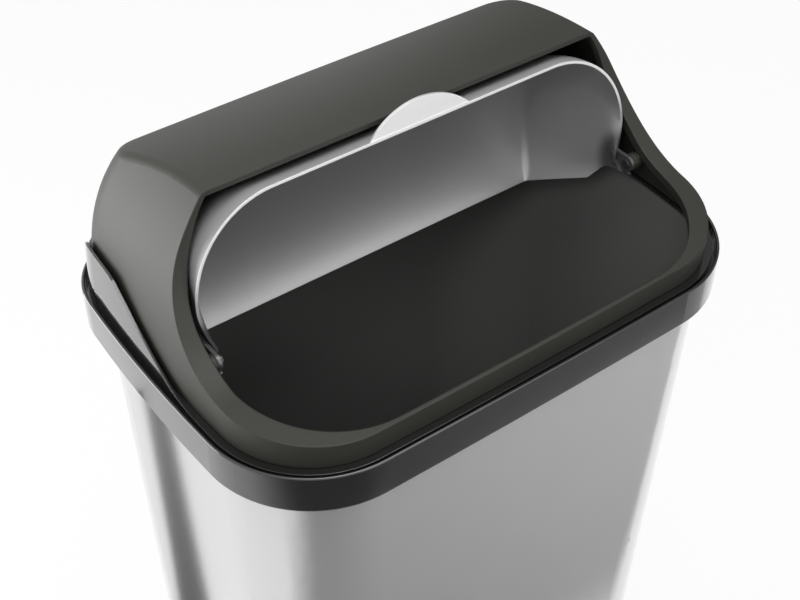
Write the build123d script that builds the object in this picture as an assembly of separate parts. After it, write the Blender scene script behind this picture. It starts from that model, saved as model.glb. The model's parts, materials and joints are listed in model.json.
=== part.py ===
from build123d import *
import math
import os

os.makedirs("parts", exist_ok=True)

# Roll-top trash can, in millimetres.
# Origin: middle of the base, on the floor. X runs across the width, -Y is the front, +Z is up.

# Plan of the head, across the outside of the skirt
head_width = 405.0
head_depth = 284.4
head_front_corner_radius = 78.0
head_back_corner_radius = 62.0
long_side_bow = 2.2
short_side_bow = 8.0

# Bucket
bucket_height = 560.6
bucket_rim_inset = 8.3
bucket_corner_radius = 72.5
bucket_taper_deg = 1.3
bucket_wall = 2.2
bucket_floor = 2.6
base_recess = 4.0
base_rim_width = 12.0
base_edge_radius = 7.0
bucket_lip_thickness = 2.4
lip_side_clearance = 0.8

# Collar
skirt_height = 28.1
skirt_wall = 2.3
skirt_edge_radius = 1.1
collar_floor = 2.0
channel_depth = 7.1
channel_width = 2.5
guard_wall = 1.9
guard_lean = 2.5
guard_height = 40.0
guard_back_height = 20.0
guard_climb = ((-58.0, -1.8), (-20.0, 3.2), (3.0, 14.0), (31.4, 28.2), (50.0, 37.6), (66.0, 40.0))
guard_drop_y = (90.0, 113.0)
ledge_width = 7.3
ledge_thickness = 2.2
ledge_drop = 1.8

# Fits
seat_gap = 0.3
hood_side_gap = 3.2
running_gap = 0.08
press_gap = 0.02
end_gap = 0.4

# Hood shell
hood_wall = 2.4
hood_rise = 120.0
hood_side_lean = 41.0
hood_side_power = 2.25
hood_back_lean = 46.0
hood_back_power = 2.2
hood_back_top_radius = 10.0
hood_radius_power = 1.7
hood_levels = 7
hood_top_bow = 2.5
top_drop = 16.0
top_drop_reach = 82.0
top_drop_power = 1.85
top_edge_radius = 8.0

# Mouth of the hood: a leaning line, a hollow arc and a gentle run to the front
flange_depth = 12.7
mouth_arc_radius = 75.2
mouth_arc_from_front = 65.2
mouth_arc_rise = 96.7
mouth_top_deg = -4.0
mouth_front_deg = -83.3
mouth_gap = 3.0
mouth_corner_radius = 73.0
mouth_low_rise = 38.0
mouth_top_lip = 3.8
mouth_lip_power = 1.25
lip_return = 6.5
lip_return_wall = 1.8
top_lip = 1.2

# Roll cover
cover_axis_rise = 21.0
cover_radius = 94.4
cover_wall = 2.0
cover_side_inset = 28.3
cover_ear_inset = 32.2
cover_corner_insets = (29.1, 35.0, 41.0, 44.7, 46.7, 54.5)
cover_corner_radii = (64.0, 46.0, 30.0, 14.0, 8.0, 5.0)
cover_foot_insets = (37.5, 34.5, 32.6, 32.2, 32.2, 32.2)
cover_side_bulges = (1.6, 0.7, 0.3, 0.2, 0.2, 0.2)
cover_plane_offset = 8.6
cover_front_deg = 81.1
cover_back_deg = -28.0
ear_radius = 5.7
ear_thickness = 2.6
ear_neck_reach = 26.0
ear_notch_width = 20.0
ear_notch = ((-8.0, -7.0), (16.0, -9.5), (20.0, -13.0), (27.5, -24.1), (27.5, -28.0), (-8.0, -12.0))
tab_half_width = 38.5
tab_height = 16.2
tab_wall = 2.0

# Cover pins
cover_pin_radius = 2.6
cover_pin_head_radius = 3.6
cover_pin_head = 1.6
cover_pin_grip = 9.0
cover_pin_dimple_radius = 1.3
boss_radius = 6.2

# Rear hinge of the hood
hinge_from_back = 6.2
hinge_rise = 45.2
hinge_barrel_radius = 4.6
hinge_pin_radius = 2.0
hinge_pin_head_radius = 3.1
hinge_pin_head = 1.2
hinge_half_spacing = 92.0
hinge_knuckle = 22.0
hinge_lug = 7.0

# Heights and half sizes that follow from the sizes above
half_width = head_width / 2
half_depth = head_depth / 2
floor_under = bucket_height + seat_gap
head_z = floor_under + collar_floor + channel_depth
channel_outer = skirt_wall
guard_outer = skirt_wall + channel_width
guard_inner = guard_outer + guard_wall
ledge_top = head_z - ledge_drop
hood_inset = guard_inner + hood_side_gap
guard_top_inner = guard_inner + guard_lean
hood_bottom = ledge_top + seat_gap
cover_axis_y = flange_depth + mouth_gap + cover_radius - half_depth
cover_axis_z = head_z + cover_axis_rise
cover_half_width = half_width - cover_side_inset
cover_ear_half_width = half_width - cover_ear_inset
mouth_arc_y = mouth_arc_from_front - half_depth
hinge_y = half_depth - hinge_from_back
hinge_z = head_z + hinge_rise


def ring_face(half_x, front, back, front_radius, back_radius, z, side_bow=short_side_bow):
    """Rounded rectangle with bowed sides, as a flat face at height z."""
    x = half_x - side_bow
    y0 = -(front - long_side_bow)
    y1 = back - long_side_bow
    middle = (y0 + y1) / 2
    sides = [
        ThreePointArc((-x, y0, z), (0, -front, z), (x, y0, z)),
        ThreePointArc((x, y0, z), (half_x, middle, z), (x, y1, z)),
        ThreePointArc((x, y1, z), (0, back, z), (-x, y1, z)),
        ThreePointArc((-x, y1, z), (-half_x, middle, z), (-x, y0, z)),
    ]
    face = Face(Wire(sides))
    front_corners = face.vertices().filter_by(lambda v: v.Y < middle)
    face = face.fillet_2d(front_radius, front_corners)
    back_corners = face.vertices().filter_by(lambda v: v.Y > y1 - 0.01)
    return face.fillet_2d(back_radius, back_corners)


def plan(inset, z):
    """The head's own outline, moved in by an inset."""
    depth = half_depth - inset
    front_radius = head_front_corner_radius - inset
    back_radius = head_back_corner_radius - inset
    return ring_face(half_width - inset, depth, depth, front_radius, back_radius, z)


def slab(inset, z0, z1):
    return extrude(plan(inset, z0), z1 - z0, dir=(0, 0, 1))


def ring(outer_inset, inner_inset, z0, z1):
    return slab(outer_inset, z0, z1) - slab(inner_inset, z0 - 1, z1 + 1)


def loft_faces(faces, ruled=False):
    return Solid.make_loft([face.outer_wire() for face in faces], ruled)


def along_x(face, half_length):
    """Push a face drawn in the Y-Z plane both ways along X."""
    return extrude(Pos(-half_length, 0, 0) * face, 2 * half_length, dir=(1, 0, 0))


def rod(radius, x0, x1, y, z):
    """Round bar along X between two places."""
    return Pos((x0 + x1) / 2, y, z) * Rot(0, 90, 0) * Cylinder(radius, abs(x1 - x0))


def both_sides(part):
    return [part, part.mirror(Plane.YZ)]


# Bucket: one tapered, bowed moulding with a recessed base and a turned-out lip
def taper_at(z):
    return (bucket_height - z) * math.tan(math.radians(bucket_taper_deg))


def bucket_plan(extra, z):
    inset = extra + taper_at(z)
    depth = half_depth - bucket_rim_inset - inset
    radius = bucket_corner_radius - inset
    return ring_face(half_width - bucket_rim_inset - inset, depth, depth, radius, radius, z)


def make_bucket():
    outer = loft_faces([bucket_plan(0, 0), bucket_plan(0, bucket_height)], True)
    outer = fillet(outer.faces().sort_by(Axis.Z)[0].edges(), base_edge_radius)
    low = base_recess + bucket_floor
    inner = loft_faces([bucket_plan(bucket_wall, low), bucket_plan(bucket_wall, bucket_height + 5)], True)
    inner = fillet(inner.faces().sort_by(Axis.Z)[0].edges(), base_edge_radius)
    recess_inset = base_edge_radius + base_rim_width
    recess = loft_faces([bucket_plan(recess_inset, -1), bucket_plan(recess_inset + 3, base_recess)], True)
    lip_outer = skirt_wall + lip_side_clearance
    lip = slab(lip_outer, bucket_height - bucket_lip_thickness, bucket_height)
    bead = ring(lip_outer, lip_outer + bucket_wall, bucket_height - 3 * bucket_lip_thickness, bucket_height)
    return outer + lip + bead - inner - recess


# Collar: skirt, dark channel, ledge for the hood and a guard wall that rises to the back
def guard_plan(extra, z):
    """The guard's outline at height z: it leans inwards as it rises."""
    return plan(guard_outer + extra + guard_lean * (z - head_z) / guard_height, z)


def guard_wall_ring():
    low = floor_under
    high = head_z + guard_height + 9
    outer = loft_faces([guard_plan(0, low), guard_plan(0, high)], True)
    return outer - loft_faces([guard_plan(guard_wall, low - 1), guard_plan(guard_wall, high + 1)], True)


def guard_cut():
    """What is taken off the guard: all above a line that climbs, runs level and drops behind."""
    climb = [Vector(0, y, head_z + rise) for y, rise in guard_climb]
    start, crest = climb[0], climb[-1]
    brow = Vector(0, guard_drop_y[0], crest.Z)
    foot = Vector(0, guard_drop_y[1], head_z + guard_back_height)
    top = crest.Z + 80
    back = half_depth + 9
    outline = Wire([
        Line((0, -half_depth, start.Z), start),
        Spline(*climb, tangents=[(0, 1, 0), (0, 1, 0)]),
        Line(crest, brow),
        Spline(brow, foot, tangents=[(0, 1, 0), (0, 1, 0)]),
        Line(foot, (0, back, foot.Z)),
        Line((0, back, foot.Z), (0, back, top)),
        Line((0, back, top), (0, -half_depth, top)),
        Line((0, -half_depth, top), (0, -half_depth, start.Z)),
    ])
    return along_x(Face(outline), half_width)


def hinge_spans(sign):
    """Places along X of the two collar lugs and the hood knuckle of one hinge."""
    centre = sign * hinge_half_spacing
    knuckle = (centre - hinge_knuckle / 2, centre + hinge_knuckle / 2)
    gap = end_gap + hinge_lug
    lugs = [(knuckle[0] - gap, knuckle[0] - end_gap), (knuckle[1] + end_gap, knuckle[1] + gap)]
    return lugs, knuckle


def hinge_lug_part(x0, x1):
    """Collar lug: a barrel on a foot that grows out of the guard wall."""
    barrel = rod(hinge_barrel_radius, x0, x1, hinge_y, hinge_z)
    wall_y = half_depth - guard_top_inner
    foot_z = head_z + guard_back_height - 14
    foot = Polygon(
        (wall_y - long_side_bow, foot_z),
        (half_depth - guard_outer - guard_lean * (foot_z - head_z) / guard_height, foot_z),
        (hinge_y + hinge_barrel_radius, hinge_z),
        (hinge_y - hinge_barrel_radius, hinge_z),
        align=None,
    )
    foot = extrude(Plane.YZ.offset(x0) * foot, x1 - x0, dir=(1, 0, 0))
    return barrel + foot - slab(guard_top_inner, head_z, hinge_z + 9)


def make_collar():
    skirt = ring(0, skirt_wall, head_z - skirt_height, head_z)
    skirt = fillet(skirt.faces().sort_by(Axis.Z)[-1].edges(), skirt_edge_radius)
    collar = skirt + ring(channel_outer - 0.5, guard_inner, floor_under, floor_under + collar_floor)
    collar += guard_wall_ring() - guard_cut()
    collar += ring(guard_inner - 0.5, guard_inner + ledge_width, ledge_top - ledge_thickness, ledge_top)
    bores = []
    for sign in (-1, 1):
        for x0, x1 in hinge_spans(sign)[0]:
            collar += hinge_lug_part(x0, x1)
            bores.append(rod(hinge_pin_radius + press_gap, x0 - 1, x1 + 1, hinge_y, hinge_z))
    for bore in bores:
        collar -= bore
    return collar


# Hood: a leaning shell lofted through level rings, closed by a crowned, sloping top
def hood_half_width(rise):
    share = max(rise, 0) / hood_rise
    return half_width - hood_inset - hood_side_lean * share ** hood_side_power


def hood_ring(rise, inset):
    share = max(rise, 0) / hood_rise
    depth = half_depth - hood_inset - inset
    back = depth - hood_back_lean * share ** hood_back_power
    front_radius = head_front_corner_radius - hood_inset
    base_radius = head_back_corner_radius - hood_inset
    drop = (base_radius - hood_back_top_radius) * share ** hood_radius_power
    back_radius = max(base_radius - drop, inset + 6) - inset
    return ring_face(
        hood_half_width(rise) - inset,
        depth,
        back,
        front_radius - inset,
        back_radius,
        head_z + rise,
        short_side_bow + (hood_top_bow - short_side_bow) * min(share, 1),
    )


def top_point(y, inset):
    """A place on the top's profile: level as far as the mouth, then falling away to the back."""
    share = max(y, 0) / top_drop_reach
    fall = top_drop * share ** top_drop_power
    slope = top_drop * top_drop_power / top_drop_reach * share ** (top_drop_power - 1)
    return Vector(0, y, head_z + hood_rise - fall - inset * math.sqrt(1 + slope * slope))


def hood_block(inset, bottom_rise):
    """Solid block inside the hood's skin, moved in by an inset."""
    top_rise = hood_rise + 5
    rises = [bottom_rise] + [top_rise * (i / hood_levels) for i in range(1, hood_levels + 1)]
    block = loft_faces([hood_ring(rise, inset) for rise in rises])
    reach = half_depth + 20
    profile = [top_point(reach * i / 6, inset) for i in range(-6, 7)]
    start, end, foot = profile[0], profile[-1], head_z + bottom_rise - 20
    outline = Wire([
        Spline(*profile),
        Line(end, (0, reach, foot)),
        Line((0, reach, foot), (0, -reach, foot)),
        Line((0, -reach, foot), start),
    ])
    block = block & along_x(Face(outline), half_width)
    top_face = block.faces().sort_by(lambda face: face.center().Z)[-1]
    return fillet(top_face.edges(), top_edge_radius - inset)


def in_front(depth):
    """All that lies in front of the mouth's side curve, moved into the hood by a depth."""
    centre = Vector(0, mouth_arc_y, head_z + mouth_arc_rise)
    radius = mouth_arc_radius + depth
    far_y = -half_depth - 30
    far_z = head_z + hood_rise + 60

    def on_arc(angle):
        a = math.radians(angle)
        return centre + Vector(0, radius * math.cos(a), radius * math.sin(a))

    def run(angle, reach):
        a = math.radians(angle)
        return Vector(0, -math.sin(a), math.cos(a)) * reach

    top = on_arc(mouth_top_deg)
    low = on_arc(mouth_front_deg)
    middle = on_arc((mouth_top_deg + mouth_front_deg) / 2)
    over = top + run(mouth_top_deg, (far_z - top.Z) / math.cos(math.radians(mouth_top_deg)))
    front = low + run(mouth_front_deg, (far_y - low.Y) / -math.sin(math.radians(mouth_front_deg)))
    outline = Wire([
        Line(over, top),
        ThreePointArc(top, middle, low),
        Line(low, front),
        Line(front, Vector(0, far_y, far_z)),
        Line(Vector(0, far_y, far_z), over),
    ])
    return along_x(Face(outline), half_width + 5)


def mouth_half_width(rise):
    """Half width of the opening: the cover's width with its gap, drawn in with the leaning sides."""
    widest = cover_half_width + mouth_gap
    return min(widest, hood_half_width(rise) - lip_width(rise))


def lip_width(rise):
    """The lip is widest low down and narrows towards the top corners."""
    low = hood_half_width(mouth_low_rise) - cover_half_width - mouth_gap
    share = (rise - mouth_low_rise) / (hood_rise - mouth_low_rise)
    return low + (mouth_top_lip - low) * min(max(share, 0), 1) ** mouth_lip_power


def mouth_prism(extra):
    """The opening as a solid: its front view pushed back, cut by its plan pushed down."""
    top_rise = hood_rise - hood_wall - top_lip
    step = (top_rise + extra - mouth_low_rise) / 3
    rises = [mouth_low_rise + step * i for i in range(4)]
    right = [Vector(mouth_half_width(r) + extra, 0, head_z + r) for r in rises]
    left = [Vector(-v.X, 0, v.Z) for v in right]
    foot = head_z - 20
    view = Wire([
        Line((-right[0].X, 0, foot), (right[0].X, 0, foot)),
        Line((right[0].X, 0, foot), right[0]),
        Spline(*right, tangents=[(0, 0, 1), (-1, 0, 1.25)]),
        Line(right[-1], left[-1]),
        Spline(*left[::-1], tangents=[(-1, 0, -1.25), (0, 0, -1)]),
        Line(left[0], (-right[0].X, 0, foot)),
    ])
    front_view = extrude(Pos(0, 40, 0) * Face(view), half_depth + 80, dir=(0, -1, 0))
    reach = cover_half_width + mouth_gap + extra
    front = cover_radius - cover_axis_y + mouth_gap + extra
    corner = mouth_corner_radius + extra
    back = half_depth + 20
    side = front - long_side_bow
    plan_view = Face(Wire([
        ThreePointArc((-reach, -side, foot), (0, -front, foot), (reach, -side, foot)),
        Line((reach, -side, foot), (reach, back, foot)),
        Line((reach, back, foot), (-reach, back, foot)),
        Line((-reach, back, foot), (-reach, -side, foot)),
    ]))
    plan_view = plan_view.fillet_2d(corner, plan_view.vertices().filter_by(lambda v: v.Y < 0))
    return front_view & extrude(plan_view, hood_rise + 60, dir=(0, 0, 1))


def hood_knuckle_part(x0, x1):
    """Hood knuckle: a barrel on an arm that grows out of the hood's back wall."""
    barrel = rod(hinge_barrel_radius, x0, x1, hinge_y, hinge_z)
    wall_y = half_depth - hood_inset - hood_wall
    arm = Polygon(
        (wall_y - 9, hinge_z + 9),
        (wall_y - 8, hinge_z - 1),
        (hinge_y, hinge_z - hinge_barrel_radius),
        (hinge_y + 1.5, hinge_z + hinge_barrel_radius - 0.2),
        align=None,
    )
    arm = extrude(Plane.YZ.offset(x0) * arm, x1 - x0, dir=(1, 0, 0))
    return barrel + arm


def make_hood():
    block = hood_block(0, hood_bottom - head_z)
    hollow = hood_block(hood_wall, hood_bottom - head_z - 20)
    ahead = in_front(0)
    hood = block - hollow - ahead
    mouth = mouth_prism(0)
    hood += (in_front(hood_wall) - ahead) & block - mouth
    hood += (in_front(lip_return) - ahead) & block & (mouth_prism(lip_return_wall) - mouth)
    ear_outer = cover_ear_half_width + 1.5
    boss = rod(boss_radius, ear_outer + seat_gap, half_width - 8, cover_axis_y, cover_axis_z) & block
    bore_end = ear_outer + seat_gap + cover_pin_grip
    bore = rod(cover_pin_radius + press_gap, ear_outer - 5, bore_end + 0.5, cover_axis_y, cover_axis_z)
    for one in both_sides(boss):
        hood += one
    for one in both_sides(bore):
        hood -= one
    for sign in (-1, 1):
        x0, x1 = hinge_spans(sign)[1]
        hood += hood_knuckle_part(x0, x1) - hollow
        hood -= rod(hinge_pin_radius + running_gap, x0 - 1, x1 + 1, hinge_y, hinge_z)
    return hood


# Roll cover: a shell lofted round its axis, wide and round-cornered in front, narrow and crisp behind
def cover_section(step):
    """U-shaped cross-section of the cover, from its front rim (first) to its back edge (last)."""
    share = step / (len(cover_corner_radii) - 1)
    angle = math.radians(cover_front_deg + (cover_back_deg - cover_front_deg) * share)
    along = Vector(0, math.cos(angle), math.sin(angle))
    behind = Vector(0, math.sin(angle), -math.cos(angle))
    origin = Vector(0, cover_axis_y, cover_axis_z) + behind * cover_plane_offset
    sheet = Plane(origin=origin, x_dir=(1, 0, 0), z_dir=Vector(1, 0, 0).cross(along))
    tall = math.sqrt(cover_radius ** 2 - cover_plane_offset ** 2)
    corner_x = half_width - cover_corner_insets[step]
    corner = cover_corner_radii[step]
    foot_x = half_width - cover_foot_insets[step]

    def u_points(inset):
        foot = Vector(foot_x - inset, 0)
        head = Vector(corner_x - inset, tall - inset)
        below = Vector(head.X, 0) if step == 0 else foot
        side = (below - head).normalized()
        half = math.acos(-side.X) / 2
        radius = corner - inset
        reach = radius / math.tan(half)
        start = head + side * reach
        end = head + Vector(-1, 0) * reach
        centre = end + Vector(0, -radius)
        middle = centre + (head - centre).normalized() * radius
        rise = (start - foot).normalized()
        bulge = (foot + start) * 0.5 + Vector(rise.Y, -rise.X) * cover_side_bulges[step]
        return foot, bulge, start, middle, end

    def mirrored(point):
        return Vector(-point.X, point.Y)

    foot, bulge, start, middle, end = u_points(0)
    foot_in, bulge_in, start_in, middle_in, end_in = u_points(cover_wall)
    wire = Wire([
        ThreePointArc(foot, bulge, start),
        ThreePointArc(start, middle, end),
        Line(end, mirrored(end)),
        ThreePointArc(mirrored(end), mirrored(middle), mirrored(start)),
        ThreePointArc(mirrored(start), mirrored(bulge), mirrored(foot)),
        Line(mirrored(foot), mirrored(foot_in)),
        ThreePointArc(mirrored(foot_in), mirrored(bulge_in), mirrored(start_in)),
        ThreePointArc(mirrored(start_in), mirrored(middle_in), mirrored(end_in)),
        Line(mirrored(end_in), end_in),
        ThreePointArc(end_in, middle_in, start_in),
        ThreePointArc(start_in, bulge_in, foot_in),
        Line(foot_in, foot),
    ])
    return sheet * Face(wire)


def make_cover():
    shell = loft_faces([cover_section(step) for step in range(len(cover_corner_radii))])
    ear_plane = Plane.YZ.offset(cover_ear_half_width - ear_thickness + 1.5)
    reach = ear_neck_reach
    back = math.radians(cover_back_deg)
    low = Vector(math.cos(back), math.sin(back)) * reach
    drop = Vector(math.sin(back), -math.cos(back)) * (cover_plane_offset - 0.2)
    front = math.radians(cover_front_deg)
    rise = Vector(math.sin(front), -math.cos(front)) * (cover_plane_offset + 0.2)
    up = Vector(math.cos(front), math.sin(front)) * 7
    neck = Polygon(
        (0, ear_radius),
        (0, -ear_radius),
        (drop.X, drop.Y),
        (drop.X + low.X, drop.Y + low.Y),
        (rise.X + up.X + 10, rise.Y + up.Y + 2),
        (rise.X + up.X, rise.Y + up.Y),
        align=None,
    )
    ear = ear_plane * (Pos(cover_axis_y, cover_axis_z) * (Circle(ear_radius) + neck))
    ear = extrude(ear, ear_thickness, dir=(1, 0, 0))
    hole = rod(cover_pin_radius + running_gap, cover_ear_half_width - 9, cover_ear_half_width + 9,
               cover_axis_y, cover_axis_z)
    cover = shell
    for one in both_sides(ear - hole):
        cover += one
    notch = Pos(cover_axis_y, cover_axis_z) * Polygon(*ear_notch, align=None)
    notch_plane = Plane.YZ.offset(cover_ear_half_width + ear_thickness - ear_notch_width)
    notch = extrude(notch_plane * notch, ear_notch_width, dir=(1, 0, 0))
    for one in both_sides(notch):
        cover -= one
    along = Vector(0, math.cos(front), math.sin(front))
    behind = Vector(0, math.sin(front), -math.cos(front))
    tall = math.sqrt(cover_radius ** 2 - cover_plane_offset ** 2)
    root = Vector(0, cover_axis_y, cover_axis_z) + behind * (cover_plane_offset + 0.6) + along * (tall - cover_wall)
    tab_plane = Plane(origin=root, x_dir=(1, 0, 0), z_dir=-behind)
    top = tab_height + cover_wall
    tab = Wire([
        Line((-tab_half_width, 0), (tab_half_width, 0)),
        Line((tab_half_width, 0), (tab_half_width, cover_wall)),
        ThreePointArc((tab_half_width, cover_wall), (0, top), (-tab_half_width, cover_wall)),
        Line((-tab_half_width, cover_wall), (-tab_half_width, 0)),
    ])
    tab_face = tab_plane * Face(tab)
    return cover + extrude(tab_face, tab_wall, dir=behind)


# Pins
def make_cover_pin():
    inner = cover_ear_half_width - ear_thickness + 1.5 - seat_gap
    end = cover_ear_half_width + 1.5 + seat_gap + cover_pin_grip
    shank = rod(cover_pin_radius, inner - 0.5, end, cover_axis_y, cover_axis_z)
    head = rod(cover_pin_head_radius, inner - cover_pin_head, inner, cover_axis_y, cover_axis_z)
    dimple = rod(cover_pin_dimple_radius, inner - cover_pin_head - 1, inner - cover_pin_head + 1,
                 cover_axis_y, cover_axis_z)
    return chamfer((shank + head).edges().sort_by(Axis.X)[-1], 0.6) - dimple


def make_hinge_pin():
    lugs, knuckle = hinge_spans(1)
    inside, outside = lugs[0][0], lugs[1][1]
    shank = rod(hinge_pin_radius, inside, outside + seat_gap, hinge_y, hinge_z)
    head = rod(hinge_pin_head_radius, outside + seat_gap, outside + seat_gap + hinge_pin_head, hinge_y, hinge_z)
    return shank + head


def main():
    cover_pins = both_sides(make_cover_pin())
    hinge_pins = both_sides(make_hinge_pin())
    nodes = {
        "bin_body": make_bucket(),
        "collar": make_collar(),
        "hood": make_hood(),
        "roll_cover": make_cover(),
        "cover_pin_right": cover_pins[0],
        "cover_pin_left": cover_pins[1],
        "hinge_pin_right": hinge_pins[0],
        "hinge_pin_left": hinge_pins[1],
    }
    for name, part in nodes.items():
        solids = part.solids()
        print(name, "solids", len(solids), "volume cm3", round(part.volume / 1000, 1))
        export_step(part, "parts/" + name + ".step")


main()
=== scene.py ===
# %% [markdown]
# # A roll-top trash can
# The can is a tall silver bucket under a dark head: a glossy collar, a matte hood with a wide mouth,
# and a silver cover that rolls shut inside it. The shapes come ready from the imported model, so this
# lesson is about finishes and light. We load the model first, because every other step reads it.

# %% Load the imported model
import json
import math

import bpy
from mathutils import Matrix, Vector

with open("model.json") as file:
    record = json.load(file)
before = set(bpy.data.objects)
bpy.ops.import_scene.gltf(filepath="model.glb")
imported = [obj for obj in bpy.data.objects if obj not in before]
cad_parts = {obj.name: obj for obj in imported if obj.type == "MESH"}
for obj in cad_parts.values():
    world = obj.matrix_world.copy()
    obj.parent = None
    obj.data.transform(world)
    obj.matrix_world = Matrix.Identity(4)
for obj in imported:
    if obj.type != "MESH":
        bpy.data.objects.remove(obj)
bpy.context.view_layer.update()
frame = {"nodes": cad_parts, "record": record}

print("nodes:", sorted(frame["nodes"]))

# %% [markdown]
# ## The camera
# The photograph looks down on the left front corner. The lens and the place could be found by eye, but
# the head is a rounded oblong of known proportions, so its outline in the picture fixes them: the camera
# stands about 0.95 m from the head, 42 degrees up, with a small roll.

# %% Camera
CAMERA_AZIMUTH = math.radians(-37.33)
CAMERA_ELEVATION = math.radians(41.69)
CAMERA_ROLL = math.radians(0.61)
CAMERA_DISTANCE = 0.9462
CAMERA_TARGET = Vector((-0.00827, 0.0, 0.53179))
SENSOR_WIDTH_MM = 36.0
LENS_MM = 61.07
NEAREST, FURTHEST = 0.05, 50.0


def make_camera():
    """Stand the camera on a ball round its target, then roll it about its own line of sight."""
    level = math.cos(CAMERA_ELEVATION)
    side = math.sin(CAMERA_AZIMUTH) * level
    front = -math.cos(CAMERA_AZIMUTH) * level
    back = Vector((side, front, math.sin(CAMERA_ELEVATION)))
    data = bpy.data.cameras.new("camera")
    data.sensor_width = SENSOR_WIDTH_MM
    data.lens = LENS_MM
    data.clip_start, data.clip_end = NEAREST, FURTHEST
    camera = bpy.data.objects.new("camera", data)
    bpy.context.scene.collection.objects.link(camera)
    turn = (-back).to_track_quat("-Z", "Y").to_matrix() @ Matrix.Rotation(CAMERA_ROLL, 3, "Z")
    camera.matrix_world = Matrix.Translation(CAMERA_TARGET + back * CAMERA_DISTANCE) @ turn.to_4x4()
    bpy.context.scene.camera = camera
    return camera


camera = make_camera()
print("camera at", [round(v, 3) for v in camera.matrix_world.translation])

# %% [markdown]
# ## Writing finishes as sums
# A finish in Blender is a net of nodes, and a net is hard to read in code. It could be written as one
# line for each node and each link, but then the sum behind it is hard to see. So one small class wraps a
# node's output and lets Python's own signs add the Math nodes: `1 - mask` or `grain * 0.3 + 0.5`.

# %% Values that can be summed


class Value:
    """One output in a finish. Signs between values add Math nodes to the same finish."""

    def __init__(self, finish, socket):
        self.finish = finish
        self.socket = socket

    def math(self, operation, first, second):
        return self.finish.node("Math", {"operation": operation}, {0: first, 1: second})

    def __add__(self, other):
        return self.math("ADD", self, other)

    def __sub__(self, other):
        return self.math("SUBTRACT", self, other)

    def __mul__(self, other):
        return self.math("MULTIPLY", self, other)

    __radd__ = __add__
    __rmul__ = __mul__

    def __rsub__(self, other):
        return self.math("SUBTRACT", other, self)

    def over(self, edge, blur):
        """0 below an edge and 1 above it, with a soft step."""
        settings = {"interpolation_type": "SMOOTHSTEP"}
        return self.finish.node("MapRange", settings, {0: self, 1: edge - blur, 2: edge + blur})

    def between(self, low, high):
        """A share from 0 to 1 stretched between two levels."""
        return self * (high - low) + low


print("values can be added, taken away and multiplied")

# %% [markdown]
# A second class holds one finish: a material's nodes, or the nodes of the air round the can. A helper for
# each kind of node would be a lot to learn, so one method, `node`, makes any of them from its type, its
# settings and the values or links of its sockets. The short methods after it name the few that are used
# again and again.

# %% A finish as one object


class Finish:
    """One procedural finish, on a new material or on a world that is given."""

    def __init__(self, name, holder=None):
        self.holder = holder or bpy.data.materials.new(name)
        self.holder.use_nodes = True
        self.tree = self.holder.node_tree
        self.tree.nodes.clear()

    def node(self, kind, settings=None, values=None, out=0):
        """Add a node: its type, then its settings, then the values or links of its sockets."""
        made = self.tree.nodes.new("ShaderNode" + kind)
        for key, setting in (settings or {}).items():
            setattr(made, key, setting)
        for key, value in (values or {}).items():
            if isinstance(value, Value):
                self.tree.links.new(value.socket, made.inputs[key])
            else:
                made.inputs[key].default_value = value
        return Value(self, made.outputs[out]) if made.outputs else None

    def blend(self, share, first, second):
        """Blend two colours by a share from 0 to 1."""
        return self.node("Mix", {"data_type": "RGBA"}, {0: share, 6: first, 7: second}, out=2)

    def place(self):
        """Where a point lies in the model's own space, in metres."""
        return self.node("TexCoord", out="Object")

    def facing(self):
        """Which way the surface faces, in the model's own space."""
        return self.node("TexCoord", out="Normal")

    def vector(self, operation, first, second):
        return self.node("VectorMath", {"operation": operation}, {0: first, 1: second})

    def along(self, point, direction):
        """How far a point or a direction reaches along another direction."""
        return self.node("VectorMath", {"operation": "DOT_PRODUCT"}, {0: point, 1: direction}, out="Value")

    def length(self, arm):
        return self.node("VectorMath", {"operation": "LENGTH"}, {0: arm}, out="Value")

    def noise(self, size, detail=2.0, roughness=0.5):
        """Soft clouds whose blots are about a size across, in metres."""
        values = {"Vector": self.place(), "Scale": 1.0 / size, "Detail": detail, "Roughness": roughness}
        return self.node("TexNoise", None, values)

    def soft_edge(self, radius):
        """The surface's direction with its sharp edges rounded by a small radius."""
        return self.node("Bevel", {"samples": 8}, {"Radius": radius})

    def bump(self, height, distance, strength, edge):
        """Raise the surface by a height pattern, over edges rounded by a small radius."""
        under = self.soft_edge(edge)
        values = {"Height": height, "Distance": distance, "Strength": strength, "Normal": under}
        return self.node("Bump", None, values)

    def show(self, surface, kind="OutputMaterial"):
        """Put a shader on the output, and give back the material or world that holds the finish."""
        self.node(kind, None, {"Surface": surface})
        return self.holder

    def close(self, values):
        """Put a Principled shader on the output, with the values or links of its sockets."""
        return self.show(self.node("BsdfPrincipled", None, values))


def grey(level, warm=0.0):
    """A grey in linear light, a little warmer where asked."""
    return (level * (1 + warm), level, level * (1 - warm), 1.0)


print("tools for finishes are ready")

# %% [markdown]
# ## The bucket's finish
# Outside, the bucket is moulded in a silver metallic plastic with a satin skin: fine flakes scatter the
# light, and a faint orange peel softens what it mirrors. Inside it is painted a plain dark grey, which is
# painted shade for the deep inside under the head. Two materials on one moulding would need its mesh
# split, so one material tells inside from outside: on the outer wall a point and its surface direction
# point the same way, away from the middle.

# %% Bucket finish
BUCKET_FLAKE = 0.0007
BUCKET_CLOUD = 0.12
BUCKET_GRAIN = 0.0004
BUCKET_PEEL = 0.004


def outer_mask(finish):
    """1 on walls that face away from the can's middle line, 0 on walls that face it."""
    level = finish.vector("MULTIPLY", finish.place(), (1.0, 1.0, 0.0))
    return finish.along(level, finish.facing()).over(0.004, 0.003)


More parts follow.
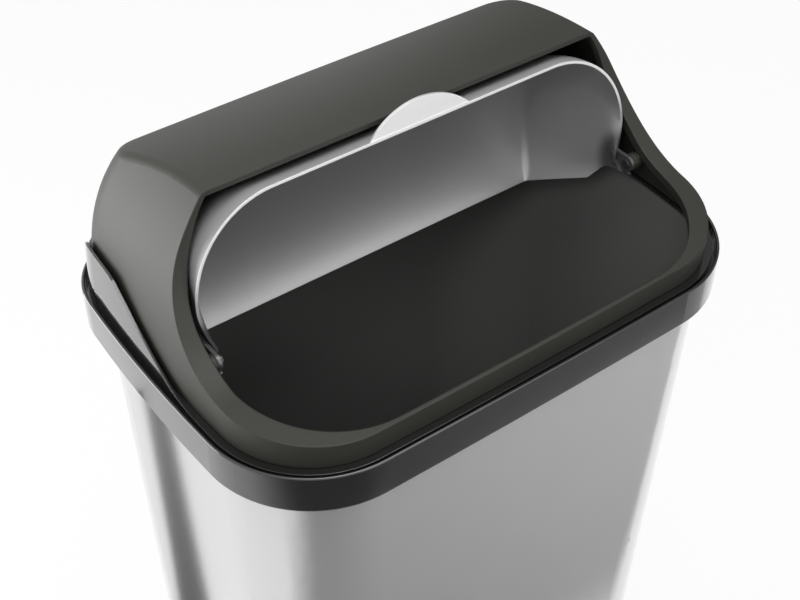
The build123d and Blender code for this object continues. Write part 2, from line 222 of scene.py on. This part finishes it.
def make_bucket_finish():
    finish = Finish("silver_metallic_plastic")
    outside = outer_mask(finish)
    inside = 1 - outside
    flakes = finish.noise(BUCKET_FLAKE, 3.0, 0.7)
    clouds = finish.noise(BUCKET_CLOUD)
    sparkle = flakes.over(0.60, 0.08) * 0.35
    silver = finish.blend(sparkle, finish.blend(clouds, grey(0.61), grey(0.67)), grey(0.82))
    # The inside's dark grey is painted shade for the deep inside of the bucket under the head.
    dark = finish.blend(clouds, grey(0.18, 0.02), grey(0.21, 0.02))
    grain = finish.noise(BUCKET_GRAIN)
    peel = finish.noise(BUCKET_PEEL, 1.0)
    height = outside * peel * 0.6 + inside * grain
    return finish.close({
        "Base Color": finish.blend(outside, dark, silver),
        "Metallic": outside * 0.82,
        "Roughness": outside * flakes.between(0.08, 0.14) + inside * grain.between(0.48, 0.58),
        "Normal": finish.bump(height, distance=0.00006, strength=0.35, edge=0.0008),
        "Coat Weight": outside * 0.25,
        "Coat Roughness": 0.12,
    })


bucket_finish = make_bucket_finish()
print("made", bucket_finish.name)

# %% [markdown]
# ## The dark mouldings
# The collar is glossy black plastic. A perfect mirror would look like glass, so its reflections get the
# slow waviness that moulded plastic has where it shrank, and a coat on top keeps them bright. The hood
# is matte: a fine grain, like that of an etched mould, turns every highlight into a soft bloom. Both get
# a small rounding of their edges, since no moulded edge is truly sharp.

# %% Collar and hood finishes
COLLAR_SHRINK = 0.03
COLLAR_SPECK = 0.0012
HOOD_CLOUD = 0.05
HOOD_GRAIN = 0.00055
OLIVE_DARK = (0.024, 0.025, 0.020, 1.0)
OLIVE_MIDDLE = (0.031, 0.032, 0.026, 1.0)
OLIVE_PALE = (0.046, 0.047, 0.040, 1.0)


def make_collar_finish():
    finish = Finish("black_gloss_plastic")
    shrink = finish.noise(COLLAR_SHRINK)
    specks = finish.noise(COLLAR_SPECK, 2.0, 0.8).over(0.74, 0.03)
    return finish.close({
        "Base Color": finish.blend(specks, grey(0.012, 0.02), grey(0.05)),
        "Roughness": shrink * 0.05 + specks * 0.15 + 0.10,
        "Normal": finish.bump(shrink, distance=0.0006, strength=0.25, edge=0.0010),
        "IOR": 1.52,
        "Coat Weight": 0.9,
        "Coat Roughness": 0.08,
    })


def make_hood_finish():
    finish = Finish("dark_matte_plastic")
    clouds = finish.noise(HOOD_CLOUD, 3.0)
    grain = finish.noise(HOOD_GRAIN, 3.0, 0.6)
    colour = finish.blend(clouds, OLIVE_DARK, OLIVE_MIDDLE)
    return finish.close({
        "Base Color": finish.blend(grain.over(0.55, 0.15) * 0.4, colour, OLIVE_PALE),
        "Roughness": grain * 0.16 + clouds * 0.06 + 0.40,
        "Specular IOR Level": 0.38,
        "Normal": finish.bump(grain, distance=0.00012, strength=0.45, edge=0.0014),
    })


collar_finish = make_collar_finish()
hood_finish = make_hood_finish()
print("made", collar_finish.name, "and", hood_finish.name)

# %% [markdown]
# ## The cover and the pins
# The cover is a satin silver grey. Its rim and tab are painted a pearly white, a painted highlight where
# they catch the light, and its inside a duller grey, painted shade under the hood. One moulding has three
# kinds of surface. Its faces could be picked by number, but numbers change when the model is packed again,
# so how each face looks at the line that the cover turns about tells them apart: the inside looks back at
# it, the barrel outside looks away from it, and the rim and tab do neither. The ears get a darker grey
# close to that line, painted shade deep inside the hood. The pins are black with a satin skin, and their
# roughness goes in rings about half a millimetre apart round each pin's own line, as on a turned mould.

# %% Cover and pin finishes
COVER_FLAKE = 0.0006
COVER_CLOUD = 0.09
COVER_PEEL = 0.003
# How far from the turning line the ears' painted shade reaches.
EAR_PAINTED_SHADE_REACH = 0.024
EAR_REACH = 0.045
PIN_CLOUD = 0.001
RING_RADIANS_PER_METRE = 12000.0


def from_line(finish, line):
    """The arm to each point from a line that runs from left to right, and the point's reach from it."""
    arm = finish.vector("SUBTRACT", finish.place(), (0.0, line[1], line[2]))
    return arm, finish.length(finish.vector("MULTIPLY", arm, (0.0, 1.0, 1.0)))


def make_cover_finish(line):
    finish = Finish("silver_grey_plastic")
    arm, reach = from_line(finish, line)
    turned = finish.along(arm, finish.facing())
    past_ears = reach.over(EAR_REACH, 0.01)
    outside = turned.over(-0.03, 0.01) * past_ears
    barrel = turned.over(0.05, 0.02) * past_ears
    flakes = finish.noise(COVER_FLAKE, 3.0, 0.7)
    clouds = finish.noise(COVER_CLOUD)
    # The rim and tab's pearly white is a painted highlight, where they catch the light.
    painted_highlight_white = finish.blend(clouds, grey(0.90), grey(0.94))
    silver = finish.blend(clouds, grey(0.65), grey(0.71))
    # The inside's duller grey is painted shade under the hood, on the same silver moulding.
    painted_shade_inside = finish.blend(clouds, grey(0.44), grey(0.50))
    painted_shade_inside = finish.blend(flakes.over(0.60, 0.08) * 0.3, painted_shade_inside, grey(0.62))
    # Near the turning line the ears get a darker grey, painted shade deep inside the hood.
    painted_shade_inside = finish.blend(reach.over(EAR_PAINTED_SHADE_REACH, 0.006), grey(0.13), painted_shade_inside)
    return finish.close({
        "Base Color": finish.blend(outside, painted_shade_inside, finish.blend(barrel, painted_highlight_white, silver)),
        "Metallic": 0.55 - outside * 0.35 + barrel * 0.25 + clouds * 0.08,
        "Roughness": flakes * 0.08 + clouds * 0.05 + 0.36 - outside * 0.06,
        "Normal": finish.bump(finish.noise(COVER_PEEL, 1.0), distance=0.00005, strength=0.3, edge=0.0006),
        "Coat Weight": 0.2,
        "Coat Roughness": 0.2,
    })


def make_pin_finish(line):
    finish = Finish("black_pin_plastic")
    reach = from_line(finish, line)[1]
    rings = finish.node("Math", {"operation": "SINE"}, {0: reach * RING_RADIANS_PER_METRE})
    return finish.close({
        "Base Color": finish.blend(finish.noise(PIN_CLOUD), grey(0.020), grey(0.045)),
        "Roughness": rings * 0.06 + 0.34,
        "Normal": finish.bump(rings, distance=0.00002, strength=0.4, edge=0.0003),
    })


joints = {joint["name"]: joint for joint in frame["record"]["behaviour"]["joints"]}
cover_line = joints["cover_roll"]["pos_m"]
hinge_line = joints["hood_hinge"]["pos_m"]
cover_finish = make_cover_finish(cover_line)
cover_pin_finish = make_pin_finish(cover_line)
hinge_pin_finish = make_pin_finish(hinge_line)
print("made", cover_finish.name, "and two finishes for the pins")

# %% [markdown]
# ## Dressing the model
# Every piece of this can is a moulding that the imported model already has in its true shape. A copy of
# each could be dressed instead, but then two shapes would have to be kept alike. So each node keeps its
# mesh and gets its finish in every material slot.

# %% Put the finishes on
finishes = {
    "bin_body": bucket_finish,
    "collar": collar_finish,
    "hood": hood_finish,
    "roll_cover": cover_finish,
    "cover_pin_right": cover_pin_finish,
    "cover_pin_left": cover_pin_finish,
    "hinge_pin_right": hinge_pin_finish,
    "hinge_pin_left": hinge_pin_finish,
}
for node, material in finishes.items():
    piece = frame["nodes"][node]
    for place in piece.material_slots:
        place.material = material
    print(node, "wears", material.name)

# %% [markdown]
# ## Floor
# The picture shows the can against plain white. A brighter light would wash out the can as well, so the
# floor itself gives off most of its white, but only to the camera and to mirrors. The rest is real paper,
# which takes the can's soft shadow.

# %% Floor
FLOOR_REACH = 7.0
FLOOR_PAPER = 0.90
SEEN_BY_CAMERA = 0.91
SEEN_BY_MIRRORS = 0.85


def white_share(finish, to_camera, to_mirrors):
    """How much of a surface's own white each kind of ray meets. Other light meets none of it."""
    camera_ray = finish.node("LightPath", out="Is Camera Ray")
    glossy_ray = finish.node("LightPath", out="Is Glossy Ray")
    through_ray = finish.node("LightPath", out="Is Transmission Ray")
    return camera_ray * to_camera + glossy_ray * to_mirrors + through_ray * to_mirrors


def lay_sheet(name, corners, material):
    """A flat sheet with four corners, linked into the scene."""
    mesh = bpy.data.meshes.new(name)
    mesh.from_pydata(corners, [], [(0, 1, 2, 3)])
    mesh.materials.append(material)
    sheet = bpy.data.objects.new(name, mesh)
    bpy.context.scene.collection.objects.link(sheet)
    return sheet


def lying(corners, height):
    """Corners on the ground, lifted to a height."""
    return [(x, y, height) for x, y in corners]


def make_floor():
    finish = Finish("studio_floor")
    seen = white_share(finish, SEEN_BY_CAMERA, SEEN_BY_MIRRORS)
    paper = finish.node("BsdfDiffuse", None, {"Color": grey(FLOOR_PAPER)})
    white = finish.node("Emission", None, {"Color": grey(1.0), "Strength": 1.0})
    material = finish.show(finish.node("MixShader", None, {0: seen, 1: paper, 2: white}))
    far = FLOOR_REACH
    return lay_sheet("floor", lying([(-far, -far), (far, -far), (far, far), (-far, far)], 0.0), material)


floor = make_floor()
print("laid the", floor.name)

# %% [markdown]
# ## The card in front
# Gloss needs something dark to show, and studios stand black cards just out of the picture for that.
# Here they are sheets that only mirror rays meet. The one in front is not one grey. The bucket mirrors
# the floor close by, which is white at the can's foot and at the left, and grey past a slanted line.
# The collar stands higher than the bucket's wall, so it mirrors the floor further out. There the card
# is darkest, past an edge that is round before the can's left corner and straight before its front.
# Its places and greys were set for the photograph's view, and from another side it shows elsewhere.

# %% The card in front
SLANT = (0.814, -0.581, 0.0)
SLANT_START = 0.126
WHITE_FOOT = 0.20
PATCH_CENTRE = (-0.085, -0.010, 0.0)
PATCH_RADIUS = 0.559
PATCH_FRONT = 0.50
PATCH_BLUR = 0.015
PATCH_CORNER = 0.13
LEFT_FADE = 0.22
FRONT = [(-1.5, -1.8), (2.2, -1.8), (2.2, 0.12), (-1.5, 0.12)]
FRONT_HEIGHT = 0.006


def mirror_only(finish, name, corners, colour):
    """A sheet that only mirrors see, so that metal and gloss have something darker to show."""
    shade = finish.node("Emission", None, {"Color": colour, "Strength": 1.0})
    card = lay_sheet(name, corners, finish.show(shade))
    card.visible_camera = False
    card.visible_diffuse = False
    card.visible_shadow = False
    card.visible_transmission = False
    return card


def make_front_card():
    """White at the left, grey past a slanted line, and darkest beyond the pale patch."""
    finish = Finish("front_card")
    ground = finish.place()
    past = finish.along(ground, SLANT) + SLANT_START
    away = finish.along(ground, (0.0, -1.0, 0.0))
    pale = past.over(0.50, 0.40).between(0.27, 0.57)
    near = 1 - past.over(-0.08, 0.14) * away.over(WHITE_FOOT, 0.04) * (1 - pale)
    arm = finish.vector("SUBTRACT", ground, PATCH_CENTRE)
    round_edge = finish.length(arm).over(PATCH_RADIUS, PATCH_BLUR)
    straight_edge = away.over(PATCH_FRONT, PATCH_BLUR)
    beside = finish.along(ground, (1.0, 0.0, 0.0)).over(PATCH_CORNER, 0.04)
    far = (round_edge * (1 - beside) + straight_edge * beside) * away.over(LEFT_FADE, 0.24)
    dark = past.over(0.55, 0.17).between(0.11, 0.28)
    colour = finish.blend(near * (1 - far) + dark * far, grey(0.0), grey(1.0))
    return mirror_only(finish, "front_card", lying(FRONT, FRONT_HEIGHT), colour)


front_card = make_front_card()
print("made", front_card.name)

# %% [markdown]
# ## The other cards
# A narrow black card lies behind on the left, where the bucket's left side mirrors it. A grey card
# stands on the right, so that the hood mirrors something darker than white air there. Darker paint on
# the can could do the same, but paint stays put, and a reflection moves with the one who looks.

# %% The other cards
STRIP = [(-0.223, 0.214), (-0.277, 0.194), (-0.400, 0.524), (-0.346, 0.544)]
STRIP_HEIGHT = 0.008
RIGHT = [(1.0, -0.9, 0.35), (1.0, 1.5, 0.35), (1.0, 1.5, 2.4), (1.0, -0.9, 2.4)]

strip_card = mirror_only(Finish("strip_card"), "strip_card", lying(STRIP, STRIP_HEIGHT), grey(0.0))
right_card = mirror_only(Finish("right_card"), "right_card", RIGHT, grey(0.25))
print("made", strip_card.name, "and", right_card.name)

# %% [markdown]
# ## The air
# The air round the can is white for the camera and for mirrors, like the floor. It could light the can
# just as white, but light from all sides leaves a shape flat. So for all other rays it is less than half
# as bright, and the lamps do the rest.

# %% Air
AIR_LEVEL = 0.45


def make_air(level):
    """White for the camera and for mirrors, a plain level of light for everything else."""
    air = Finish("studio_air", bpy.data.worlds.new("studio_air"))
    light = air.node("Background", None, {"Color": grey(1.0), "Strength": level})
    white = air.node("Background", None, {"Color": grey(1.0), "Strength": 1.0})
    mixed = air.node("MixShader", None, {0: white_share(air, 1.0, 1.0), 1: light, 2: white})
    bpy.context.scene.world = air.show(mixed, "OutputWorld")


make_air(AIR_LEVEL)
print("air at a level of", AIR_LEVEL)

# %% [markdown]
# ## The lamps
# Four soft lamps shape the can: a large one low behind the left side, one above, a weak one in front and
# a small one that looks into the mouth, which mirrors don't show. A single strong lamp would be simpler,
# but from any one place it leaves one side of the can in shade.

# %% Lamps
HEAD = (0.0, 0.0, 0.55)
MOUTH_RIGHT = (0.19, 0.0, 0.45)


def soft_lamp(name, place, aim, size, power):
    """A rectangular soft lamp at a place, turned to look at a point."""
    data = bpy.data.lights.new(name, "AREA")
    data.shape = "RECTANGLE"
    data.size, data.size_y = size
    data.energy = power
    lamp = bpy.data.objects.new(name, data)
    lamp.visible_camera = False
    bpy.context.scene.collection.objects.link(lamp)
    line = Vector(aim) - Vector(place)
    lamp.matrix_world = Matrix.Translation(place) @ line.to_track_quat("-Z", "Y").to_matrix().to_4x4()
    return lamp


soft_lamp("left_lamp", place=(-1.2, 0.95, 0.52), aim=HEAD, size=(1.2, 0.9), power=20.0)
soft_lamp("top_lamp", place=(0.1, -0.3, 2.2), aim=HEAD, size=(1.2, 1.0), power=14.0)
soft_lamp("front_lamp", place=(0.6, -2.0, 1.4), aim=HEAD, size=(1.4, 1.2), power=7.0)
mouth_lamp = soft_lamp("mouth_lamp", place=(-0.8, -0.6, 1.5), aim=MOUTH_RIGHT, size=(0.4, 0.4), power=3.8)
mouth_lamp.visible_glossy = False
bpy.context.scene.view_settings.view_transform = "Standard"
print("four lamps set")

# %% [markdown]
# ## The end
# Last, the script says that the scene is set.

# %% Finish
print("scene is set")
